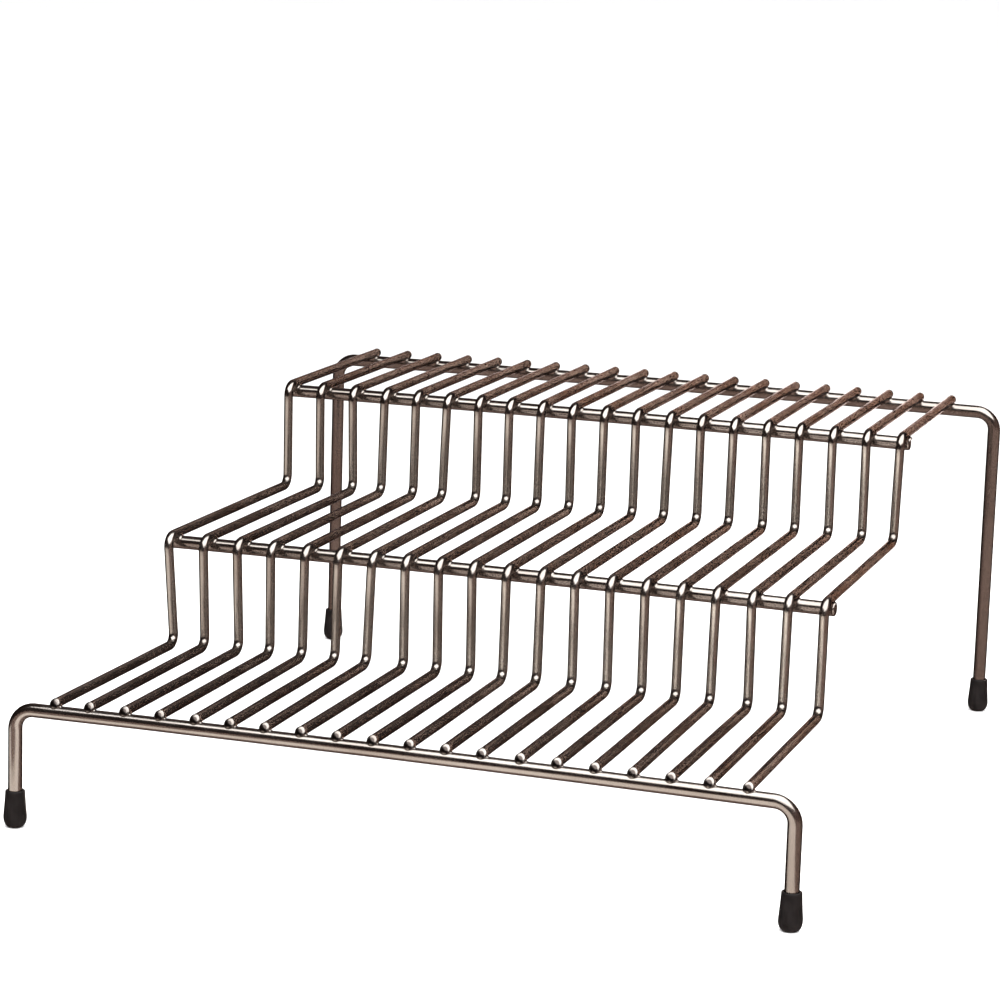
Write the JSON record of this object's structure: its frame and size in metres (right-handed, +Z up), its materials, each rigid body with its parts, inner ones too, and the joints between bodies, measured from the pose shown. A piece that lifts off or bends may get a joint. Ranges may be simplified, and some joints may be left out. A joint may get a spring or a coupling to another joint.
{
  "type": "tiered shelf riser",
  "caption": "Three-tier kitchen shelf riser of welded round wire with a glossy dark plated finish, on four rubber-capped legs.",
  "frame": {"origin": "centre of the footprint, on the surface that the riser stands on", "axes": "+X to the right as seen from the front, +Y from the low front tier to the high rear tier, +Z up"},
  "size_m": [0.2636, 0.2862, 0.1159],
  "materials": {
    "plated_wire": "gloss",
    "foot_rubber": "matte"
  },
  "bodies": {
    "root": {"step_wire_01": "plated_wire", "step_wire_02": "plated_wire", "step_wire_03": "plated_wire", "step_wire_04": "plated_wire", "step_wire_05": "plated_wire", "step_wire_06": "plated_wire", "step_wire_07": "plated_wire", "step_wire_08": "plated_wire", "step_wire_09": "plated_wire", "step_wire_10": "plated_wire", "step_wire_11": "plated_wire", "step_wire_12": "plated_wire", "step_wire_13": "plated_wire", "step_wire_14": "plated_wire", "step_wire_15": "plated_wire", "step_wire_16": "plated_wire", "step_wire_17": "plated_wire", "step_wire_18": "plated_wire", "step_wire_19": "plated_wire", "step_wire_20": "plated_wire", "front_leg_frame": "plated_wire", "rear_leg_frame": "plated_wire", "middle_crossbar": "plated_wire", "top_crossbar": "plated_wire", "foot_cap_front_left": "foot_rubber", "foot_cap_front_right": "foot_rubber", "foot_cap_rear_left": "foot_rubber", "foot_cap_rear_right": "foot_rubber"}
  },
  "joints": []
}
